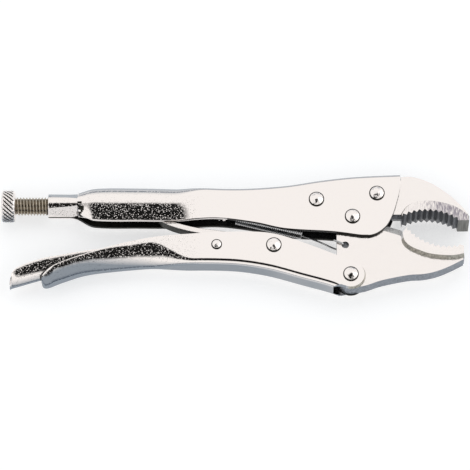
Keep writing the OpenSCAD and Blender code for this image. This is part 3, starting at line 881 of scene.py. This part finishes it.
def arc(centre, radius, start, stop, n):
    """Points in n steps round a centre between two directions in degrees."""
    angles = [math.radians(mix(start, stop, i / n)) for i in range(n + 1)]
    return [(centre[0] + radius * math.cos(a), centre[1] + radius * math.sin(a)) for a in angles]


def rivet_places(*nodes):
    return [node_centre(node) for node in nodes]


# Spacing of the rings of the pressed pieces in mm: on the barrel, where it turns into the grip, at the
# tails and elsewhere; and how long the closely spaced stretch is at the tails
BARREL_GAP, GRIP_GAP, TAIL_GAP, GAP = 0.8, 0.6, 0.35, 1.6
TAIL_LENGTH = 8
# Flat strip left beside the middle of the back on the barrel and on the other pieces
BARREL_STRIP, STRIP = 0.05, 0.3
# The sheet is at most this share of a shallow section's depth
THIN_SHARE = 0.6
# Width of the lower handle's end as a share of its grip
END_SHARE = 0.45
# Play of the lever between the cheeks, its corner radius, and the depth of its round back as a share
LEVER_PLAY, LEVER_CORNER, LEVER_ROUND = 0.4, 2, 0.93


def upper_handle_loft(s):
    rings = []
    fine_end = GRIP_FULL + 4
    stations = steps(BARREL_BACK, GRIP_START, BARREL_GAP) + steps(GRIP_START, fine_end, GRIP_GAP)
    for x in stations + steps(fine_end, NOSE_X, GAP) + [NOSE_X]:
        grip = ramp(x, GRIP_START, GRIP_FULL)
        flat = ramp(x, *UPPER_FADE)
        edge = AXIS_Y - s.barrel / 2 if x <= GRIP_START else height(UPPER_EDGE, x)
        back = AXIS_Y + s.barrel / 2 if x <= GRIP_START else height(UPPER_BACK, x)
        half_w = mix(mix(s.barrel / 2, s.upper_grip / 2, grip), s.cheek_width / 2, flat)
        curl = (half_w - s.slot / 2 * grip - 0.6 * (1 - grip)) * (1 - flat)
        t = mix((s.barrel - s.bore) / 2, s.sheet, grip)
        rings.append(channel_ring(x, t, edge, back, half_w, mix(half_w - BARREL_STRIP, s.corner, flat),
                                  mix((back - edge) / 2, s.corner, flat), curl, grip))
    return rings


def tail_stations(start, end):
    """Places along X of the rings of a piece with a tail."""
    return steps(start, start + TAIL_LENGTH, TAIL_GAP) + steps(start + TAIL_LENGTH, end, GAP) + [end]


def lower_handle_loft(s):
    rings = []
    for x in tail_stations(LOWER_END, LOWER_EDGE[-1][0]):
        flat = ramp(x, *LOWER_FADE)
        edge, back = height(LOWER_EDGE, x), height(LOWER_BACK, x)
        closing = math.sqrt(min(1, max(0, (x - LOWER_END + 1) / 7)))
        half_w = mix(s.lower_grip / 2 * mix(END_SHARE, 1, closing), s.cheek_width / 2, flat)
        depth = edge - back
        round_h = mix(depth * mix(*ROUND_SHARES, ramp(x, *ROUND_FADE)), s.corner, flat)
        keel = mix(SPOON_KEEL, mix(GRIP_KEEL, 1.0, flat), ramp(x, *SPOON_ENDS))
        rings.append(channel_ring(x, min(s.sheet, depth * THIN_SHARE), edge, back, half_w,
                                  mix(half_w - STRIP, s.corner, flat), round_h, keel=keel))
    return rings


def lever_loft(s):
    rings = []
    web = (s.cheek_width - 2 * s.sheet - LEVER_PLAY) / 2
    for x in tail_stations(TAIL_END, LEVER_FRONT):
        flat = ramp(x, *LOWER_FADE)
        edge, back = height(LEVER_EDGE, x), height(LEVER_BACK, x)
        depth = edge - back
        half_w = mix(s.lever_tail / 2, web, flat)
        rings.append(channel_ring(x, min(s.lever_sheet, depth * THIN_SHARE), edge, back, half_w,
                                  mix(half_w - STRIP, LEVER_CORNER, flat),
                                  mix(depth * LEVER_ROUND, LEVER_CORNER, flat),
                                  keel=mix(SPOON_KEEL, 1.0, flat)))
    return rings


def pressed(name, rings, look, edge):
    """A piece of sheet through its rings, with rounded edges."""
    return round_edges(new_piece(name, *loft(rings), look), edge)


def drill(piece, size, *axes):
    """Cuts the holes for large or small rivets about axes along Z."""
    for axis in axes:
        cut(piece, round_bar("hole", axis, HOLES[size]))


# Rounding of the edges of the lever and of the spring's lug
THIN_EDGE = 0.25
# How far the barrel's two flats are turned from straight up, in degrees
FLAT_TURN = 50
# Places along X in front of which the cheeks' cut edges get painted shade, and the ears' rims get a painted shade line
DARK_EDGE_FROM, SHADED_RIM_FROM = -66, -4


class PLIERS_OT_upper_handle(bpy.types.Operator):
    """Builds the upper handle: a pressed channel that closes into the round barrel."""

    bl_idname = "pliers.upper_handle"
    bl_label = "Upper Handle"

    def execute(self, context):
        s = context.scene.pliers_sheet
        piece = pressed("upper_handle_shell", upper_handle_loft(s), "plated_barrel", s.edge)
        nose = [(1, -16), (3, -12.5), *catmull(UPPER_NOSE), (NOSE_X, 30), (NOSE_X + 6, 30), (NOSE_X + 6, -16)]
        cut(piece, slab("nose_cut", nose, 30))
        mouth, front, r = BARREL_BACK, BARREL_BACK + BARREL_LENGTH, s.barrel / 2
        for side in (-1, 1):
            wedge = [(mouth - 1, r - 0.2), (front, r - s.barrel_flat), (front + 2.5, r + 4), (mouth - 1, r + 4)]
            tool = new_piece("flat", *skin([[(x, y, z) for x, z in wedge] for y in (-r, r)]))
            turn = Matrix.Rotation(math.radians(side * FLAT_TURN), 4, "X")
            tool.data.transform(Matrix.Translation((0, AXIS_Y * MM, MIDDLE * MM)) @ turn)
            cut(piece, tool)
        drill(piece, "large", *rivet_places("jaw_pivot_rivet", "jaw_rivet_rear", "jaw_rivet_front"))
        lug = slab("lug", rectangle(*LUG), LUG_WIDTH)
        cut(lug, round_bar("eye", EYE, EYE_RADIUS, EYE_LENGTH, "X", 32))
        round_edges(lug, THIN_EDGE)
        smooth(piece)
        smooth(lug)
        lug.data.materials.append(finish("plated_barrel"))
        piece = join("upper_handle_shell", [piece, lug])
        dress(piece, "plated_barrel", "upper_body", "plated_sheet", "upper_handle")

        def step_shadow(c, n):
            """Ragged dark patch where the barrel steps up into the grip."""
            rear, fore = 0.9 + 0.8 * math.sin(2.1 * c.y), 3.0 + 0.9 * math.sin(1.3 * c.y + 2)
            return rear < c.x - front < fore and n.x < -0.06 and -0.8 < n.y < -0.06 and abs(n.z) > 0.3

        def cut_edge(c, n):
            """Painted shade on the edge of the cheeks and on the far lip of the grip's slot."""
            if abs(n.z) > 0.75 or n.y > 0.2:
                return False
            return c.x > DARK_EDGE_FROM or (c.z < MIDDLE and GRIP_FULL < c.x and n.y < -0.5)

        # Painted shadow at the barrel's step and painted shade on the cut edges, both near black
        paint(piece, "grimy_groove", lambda c, n: step_shadow(c, n) or cut_edge(c, n))
        return {"FINISHED"}


class PLIERS_OT_lower_handle(bpy.types.Operator):
    """Builds the lower handle: a pressed channel with two ears round the lower jaw."""

    bl_idname = "pliers.lower_handle"
    bl_label = "Lower Handle"

    def execute(self, context):
        s = context.scene.pliers_sheet
        piece = pressed("lower_handle_shell", lower_handle_loft(s), "plated_spoon", s.edge)
        channel = s.cheek_width - 2 * s.sheet

        def outline(depth):
            """Outline with the ears' rims leaning in towards the outside of the cheeks."""
            ear = arc(HANDLE_AXIS, EAR_RADIUS - EAR_LEAN * (depth - channel / 2), -110, 66, 40)
            start = [(LOWER_END - 2, -60), (SPINE_END, -60), (SPINE_END, EAR_STEP)]
            return start + ear + [(-21, -10), (-21, 0), (LOWER_END - 2, 0)]

        cut(piece, layered("outline", [(z, outline(abs(z))) for z in (-12, 0, 12)]), "INTERSECT")
        cut(piece, slab("front_gap", rectangle((SPINE_END, 20), (-60, 0)), channel))
        drill(piece, "large", HANDLE_AXIS, LINK_AXIS)
        drill(piece, "small", LEVER_AXIS)
        smooth(piece)
        dress(piece, "plated_spoon", "lower_handle_body", "plated_sheet", "lower_handle")
        # Painted shade: the ears' rims in front get a darker grey, a shade line along their outline
        paint(piece, "ground_step", lambda c, n: abs(n.z) < 0.75 and c.x > SHADED_RIM_FROM and n.x > -0.2)
        return {"FINISHED"}


class PLIERS_OT_release_lever(bpy.types.Operator):
    """Builds the release lever, whose long tail stands out behind the lower handle."""

    bl_idname = "pliers.release_lever"
    bl_label = "Release Lever"

    def execute(self, context):
        s = context.scene.pliers_sheet
        piece = pressed("release_lever_shell", lever_loft(s), "plated_sheet", THIN_EDGE)
        drill(piece, "small", LEVER_AXIS)
        smooth(piece)
        dress(piece, "plated_sheet", "lever_body", "plated_sheet", "release_lever")
        return {"FINISHED"}


# Share of Z in the normal below which a face of a jaw is a wall, and below which it is no flat side
WALL, SLOPE = 0.6, 0.95
# Rounding of the jaws' and the link's edges, and the band about the curve through the teeth that they fill
JAW_ROUND, LINK_ROUND = 0.35, 0.3
TOOTH_MIDDLE, TOOTH_REACH = 0.7, 1.3


def faces_down(n):
    """Whether a normal belongs to a wall that looks down along Y."""
    return abs(n.z) < WALL and n.y < -0.3


def within(c, block):
    """Whether a point lies in the ranges along X and Y of a block."""
    return all(low < value < high for value, (low, high) in zip(c, block))


class PLIERS_OT_jaws(bpy.types.Operator):
    """Builds both toothed jaws and the link with softened edges."""

    bl_idname = "pliers.jaws"
    bl_label = "Jaws and Link"

    @staticmethod
    def dark(c, n, centre, radius):
        """Whether a face belongs to the teeth, the upper cutter or the wall of the hook's hole."""
        if abs(n.z) > WALL:
            return False
        inward = Vector((centre[0] - c.x, centre[1] - c.y))
        toothed = abs(inward.length - radius - TOOTH_MIDDLE) < TOOTH_REACH and inward.dot(n.xy) > 0
        hole = (c - HOOK_HOLE).xy.length < HOOK_RADIUS + JAW_ROUND
        return toothed or hole or (within(c, UPPER_CUTTER) and faces_down(n))

    def execute(self, context):
        for node, body, name, width in (
            ("upper_jaw", "upper_body", "plated_jaw", JAW_ROUND),
            ("lower_jaw", "lower_jaw_body", "plated_jaw", JAW_ROUND),
            ("toggle_link", "link_body", "plated_link", LINK_ROUND),
        ):
            piece = frame_copy(node + "_forging", node)
            round_edges(piece, width, 3, 30)
            smooth(piece)
            dress(piece, name, body, name, node)
            if node == "toggle_link":
                # Painted shade: the link's walls that face down along Y are near black, in the shade inside the handle
                paint(piece, "grimy_groove", lambda c, n: faces_down(n))
                continue
            curve = TOOTH_CURVES[node]
            # Painted reflection: the jaws' walls take a blue-grey for the shadowed floor they mirror
            paint(piece, "forged_side", lambda c, n: abs(n.z) < WALL)
            paint(piece, "ground_step", lambda c, n: abs(n.z) < SLOPE and abs(c.z - MIDDLE) > PROUD)
            # Painted shade: teeth, upper cutter underside and hook hole wall are made near black where shade falls
            paint(piece, "toothed_face", lambda c, n: self.dark(c, n, *curve))
            if node == "lower_jaw":
                paint(piece, "cutter_block", lambda c, n: abs(n.z) < SLOPE and within(c, LOWER_CUTTER))
            else:
                paint(piece, "ground_tip", lambda c, n: faces_down(n) and c.x > TIP_FROM)
                paint(piece, "lip_face", lambda c, n: abs(n.z) > SLOPE and abs(c.z - MIDDLE) > PROUD)
        return {"FINISHED"}


# Steps round the screw and along one turn of its thread, steps across a ridge of the knurl, and rows of the knob
THREAD_AROUND, THREAD_ALONG, RIDGE_STEPS, KNOB_ROWS = 48, 12, 10, 72
# Length in which a knurl groove goes once round the knob, the radius of the knob's rims, and how much of
# a rim is left bright
KNURL_LEAD, KNOB_RIM, BRIGHT_RIM = 54.0, 1.6, 1.2
# Shares of the thread's and the knurl's depth below which they get painted shade
THREAD_DARK, KNURL_DARK = 0.7, 0.45


def off_axis(c):
    """Distance of a point from the axis of the screw."""
    return math.hypot(c.y - AXIS_Y, c.z - MIDDLE)


class PLIERS_OT_screw(bpy.types.Operator):
    """Cuts the thread of the screw and the knurl of its knob."""

    bl_idname = "pliers.screw"
    bl_label = "Screw and Knob"

    def execute(self, context):
        s = context.scene.pliers_small
        low, high = node_box("adjusting_screw")
        knob_low, knob_high = node_box("screw_knob")
        screw_r, knob_r = (high.y - low.y) / 2, (knob_high.y - knob_low.y) / 2
        length = high.x - knob_high.x
        screw = grown("screw_bar", thread_tree(), "screw_steel", {
            "Height": MIDDLE, "Radius": screw_r, "Length": length, "Start": knob_high.x,
            "Depth": s.thread_depth, "Pitch": s.thread_pitch,
        }, Around=THREAD_AROUND + 1, Along=int(length / s.thread_pitch * THREAD_ALONG))
        smooth(screw, 80)
        dress(screw, "screw_steel", "screw_body", "bare_screw", "adjusting_screw")
        root = screw_r - THREAD_DARK * s.thread_depth
        # Painted shade in the roots of the thread
        paint(screw, "thread_root", lambda c, n: off_axis(c) < root)
        knob = grown("knurled_knob", knurl_tree(), "plated_knob", {
            "Height": MIDDLE, "Radius": knob_r, "Length": knob_high.x - knob_low.x, "Start": knob_low.x,
            "Depth": s.knurl_depth, "Lead": KNURL_LEAD, "Rim": KNOB_RIM,
        }, Ridges=float(s.knurl_starts), Around=s.knurl_starts * RIDGE_STEPS + 1, Along=KNOB_ROWS)
        smooth(knob, 60)
        dress(knob, "plated_knob", "screw_body", "plated_knob", "screw_knob")
        # Painted shade: near black in the deep grooves of the knurl
        groove = knob_r - KNURL_DARK * s.knurl_depth
        paint(knob, "grimy_groove", lambda c, n: (
            off_axis(c) < groove and knob_low.x + BRIGHT_RIM < c.x < knob_high.x - BRIGHT_RIM))
        return {"FINISHED"}


class PLIERS_OT_spring(bpy.types.Operator):
    """Winds the spring with its rear loop and its long front hook."""

    bl_idname = "pliers.spring"
    bl_label = "Spring"

    def execute(self, context):
        s = context.scene.pliers_small
        front, rear, hook = COIL_FRONT, COIL_REAR, HOOK_HOLE
        run = front - rear
        coil = grown("coil", coil_tree(), "spring_steel", {"Wire": s.wire, "Coil": s.coil, "Length": run.length},
                     Turns=float(s.coils))
        coil.data.transform(run.to_track_quat("Z", "Y").to_matrix().to_4x4())
        for v in coil.data.vertices:
            v.co += rear * MM
        far, near = MIDDLE - JAW_WEB / 2 - s.wire, MIDDLE + JAW_WEB / 2 + s.wire
        seat = (s.coil - s.wire) / 2 - s.wire / 4
        reach = (hook - Vector((front.x, front.y, 0))).normalized()
        pull = HOOK_RADIUS - s.wire / 2 - 0.3
        bend = 1.6 * s.wire

        def by_hole(back, z):
            q = hook - (pull + back) * reach
            return (q.x, q.y, z)

        def by_coil(ahead, z):
            q = front + ahead * reach
            return (q.x, q.y, MIDDLE + z)

        front_path = catmull([
            by_coil(-2, -seat), by_coil(1, -seat), by_coil(10, -seat - 1), by_hole(6, far), by_hole(bend, far),
            by_hole(bend * 0.25, far + bend * 0.25), by_hole(0, far + bend), by_hole(0, near - bend),
            by_hole(bend * 0.25, near - bend * 0.25), by_hole(bend, near), by_hole(3.4 * bend, near),
        ])
        rear_path = catmull([
            (rear.x + 1.5, rear.y - 0.3, MIDDLE + seat), (rear.x - 1.5, rear.y + 0.6, MIDDLE + seat - 0.4),
            EYE + Vector((2.2, 0, 0.4)), EYE, EYE - Vector((2, 0.7, 0)), EYE - Vector((2.6, 2.4, 0)),
        ])
        catch = tube("front_hook", front_path, s.wire / 2, (-reach.y, reach.x, 0))
        loop = tube("rear_loop", rear_path, s.wire / 2, (0, 0, 1))
        piece = smooth(join("tension_spring_wire", [coil, catch, loop]), 50)
        dress(piece, "spring_steel", None, "spring_wire", "tension_spring")
        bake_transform(piece)
        return {"FINISHED"}


# Height over the cheeks up to which the rim of a large and of a small rivet head gets painted shade, a dark ring where
# head meets cheek
DARK_RIMS = {"large": 0.8, "small": 0.62}


class PLIERS_OT_rivets(bpy.types.Operator):
    """Sets the domed rivets of both handles."""

    bl_idname = "pliers.rivets"
    bl_label = "Rivets"

    def execute(self, context):
        made = rivet_tree()
        seat = context.scene.pliers_sheet.cheek_width / 2

        def rivets(name, size, *nodes):
            low, high = node_box(nodes[0])
            return grown(name, made, "plated_rivet", {
                "Shank": SHANKS[size], "Head": (high.x - low.x) / 2, "Dome": high.z - MIDDLE - seat, "Seat": seat,
            }, rivet_places(*nodes))

        def at_rim(c, n):
            size = "small" if (c - LEVER_AXIS).xy.length < 3 else "large"
            return abs(c.z - MIDDLE) < seat + DARK_RIMS[size]

        upper = ("jaw_pivot_rivet", "jaw_rivet_rear", "jaw_rivet_front")
        lower = ("handle_pivot_rivet", "link_pivot_rivet")
        small = "lever_pivot_rivet"
        for piece, body, nodes in (
            (rivets("upper_rivets", "large", *upper), "upper_body", upper),
            (join("lower_rivets", [rivets("large", "large", *lower), rivets("small", "small", small)]),
             "lower_handle_body", (*lower, small)),
        ):
            smooth(piece, 50)
            dress(piece, "plated_rivet", body, "plated_rivet", *nodes)
            # Painted shade: a near-black ring at each head's rim
            paint(piece, "grimy_groove", at_rim)
        return {"FINISHED"}


# ---------------------------------------------------------------- stage

# Where the camera aims and how wide it sees there in mm, how high it stands in degrees, and how far off in m
AIM = Vector((-62.2, -8.0, 8.5))
ELEVATION = 66.5
DISTANCE = 2.4
VIEW_WIDTH = 249.1

# Dark opening in the bright surroundings, in degrees: its lean from straight up, its radius and its soft edge
DARK_LEAN = 11.0
DARK_REACH = 23.0
DARK_SOFTNESS = 4.0
# Colours of the surroundings, the floor's glow in mirrors, and the lamp's place, size and power in m and W
DOME = grey(0.98)
HORIZON = (0.22, 0.26, 0.32)
OPENING = grey(0.01)
FLOOR_GLOW = 0.57
LAMP_PLACE, LAMP_SIZE, LAMP_POWER = (1.8, 0.6, 1.8), 1.6, 5.0


def seen_in_mirrors(tree):
    """1 for rays that come straight or by a mirror to the camera, else 0."""
    rays = add_node(tree, "ShaderNodeLightPath").outputs
    mirrored = calc(tree, "MAXIMUM", rays["Is Glossy Ray"], rays["Is Transmission Ray"])
    return calc(tree, "MAXIMUM", rays["Is Camera Ray"], mirrored)


class PLIERS_OT_stage(bpy.types.Operator):
    """Sets the floor, the soft light, the surroundings and the camera."""

    bl_idname = "pliers.stage"
    bl_label = "Stage"

    def execute(self, context):
        scene = context.scene
        scene.view_settings.view_transform = "Standard"
        self.make_floor(context)
        self.make_world(context)
        self.make_light()
        camera = bpy.data.cameras.new("camera")
        camera.sensor_width = 36
        camera.lens = camera.sensor_width * DISTANCE / (VIEW_WIDTH * MM)
        camera.clip_end = 20
        holder = placed("camera", camera)
        lean = math.radians(ELEVATION)
        holder.location = AIM * MM + DISTANCE * Vector((0, -math.cos(lean), math.sin(lean)))
        holder.rotation_euler = (math.radians(90 - ELEVATION), 0, 0)
        scene.camera = holder
        return {"FINISHED"}

    def make_floor(self, context):
        floor = new_piece("floor", [(x, y, 0) for x, y in rectangle((-4, 4), (-4, 4))], [(0, 1, 2, 3)])
        material, tree, bsdf = shader("floor_card", tuple(context.scene.pliers_colours.floor), 0.9, 0.0)
        matt = bsdf.outputs[0]
        glow = add_node(tree, "ShaderNodeEmission", {"Strength": FLOOR_GLOW})
        lit = add_node(tree, "ShaderNodeAddShader", {0: matt, 1: glow.outputs[0]})
        floor_look = add_node(tree, "ShaderNodeMixShader", {0: seen_in_mirrors(tree), 1: matt, 2: lit.outputs[0]})
        tree.links.new(floor_look.outputs[0], tree.nodes["Material Output"].inputs["Surface"])
        floor.data.materials.append(material)

    def make_world(self, context):
        """A bright dome with a dark opening overhead and a greyer, bluer horizon."""
        world = bpy.data.worlds.new("studio")
        context.scene.world = world
        world.use_nodes = True
        tree = world.node_tree
        heading = add_node(tree, "ShaderNodeTexCoord").outputs["Generated"]
        lean = math.radians(DARK_LEAN)
        opening = (0, -math.sin(lean), math.cos(lean))
        toward = add_node(tree, "ShaderNodeVectorMath", {0: heading, 1: opening}, operation="DOT_PRODUCT")
        rim, core = (math.cos(math.radians(DARK_REACH + turn)) for turn in (DARK_SOFTNESS, -DARK_SOFTNESS))
        dome = add_node(tree, "ShaderNodeMix", data_type="RGBA")
        sockets = {k.identifier: k for k in (*dome.inputs, *dome.outputs)}
        tree.links.new(add_range(tree, toward.outputs["Value"], rim, core), sockets["Factor_Float"])
        add_ramp(tree, parted(tree, heading)["Z"], sockets["A_Color"], [(0.05, HORIZON), (0.3, DOME)])
        sockets["B_Color"].default_value = (*OPENING, 1)
        tree.links.new(sockets["Result_Color"], tree.nodes["Background"].inputs["Color"])

    def make_light(self):
        lamp = bpy.data.lights.new("side", "AREA")
        lamp.shape = "SQUARE"
        lamp.size = LAMP_SIZE
        lamp.energy = LAMP_POWER
        holder = placed("side", lamp)
        holder.location = LAMP_PLACE
        holder.rotation_euler = (AIM * MM - holder.location).to_track_quat("-Z", "Y").to_euler()


class PLIERS_PT_panel(bpy.types.Panel):
    """Sizes, colours and makers of the pliers."""

    bl_idname = "PLIERS_PT_panel"
    bl_label = "Locking Pliers"
    bl_space_type = "VIEW_3D"
    bl_region_type = "UI"
    bl_category = "Pliers"

    def draw(self, context):
        for name, group in GROUPS.items():
            box = self.layout.box()
            for label in group.__annotations__:
                box.prop(getattr(context.scene, name), label)
        for maker in MAKERS:
            self.layout.operator(maker.bl_idname)


GROUPS = {"pliers_sheet": PliersSheet, "pliers_small": PliersSmallParts, "pliers_colours": PliersColours}
MAKERS = (
    PLIERS_OT_upper_handle,
    PLIERS_OT_lower_handle,
    PLIERS_OT_release_lever,
    PLIERS_OT_jaws,
    PLIERS_OT_screw,
    PLIERS_OT_spring,
    PLIERS_OT_rivets,
    PLIERS_OT_stage,
)
CLASSES = (*GROUPS.values(), *MAKERS, PLIERS_PT_panel)


def register():
    for cls in CLASSES:
        bpy.utils.register_class(cls)
    for name, group in GROUPS.items():
        setattr(bpy.types.Scene, name, bpy.props.PointerProperty(type=group))


def unregister():
    for name in GROUPS:
        delattr(bpy.types.Scene, name)
    for cls in reversed(CLASSES):
        bpy.utils.unregister_class(cls)


def main():
    register()
    for maker in MAKERS:
        group, name = maker.bl_idname.split(".")
        getattr(getattr(bpy.ops, group), name)()


if __name__ == "__main__":
    main()
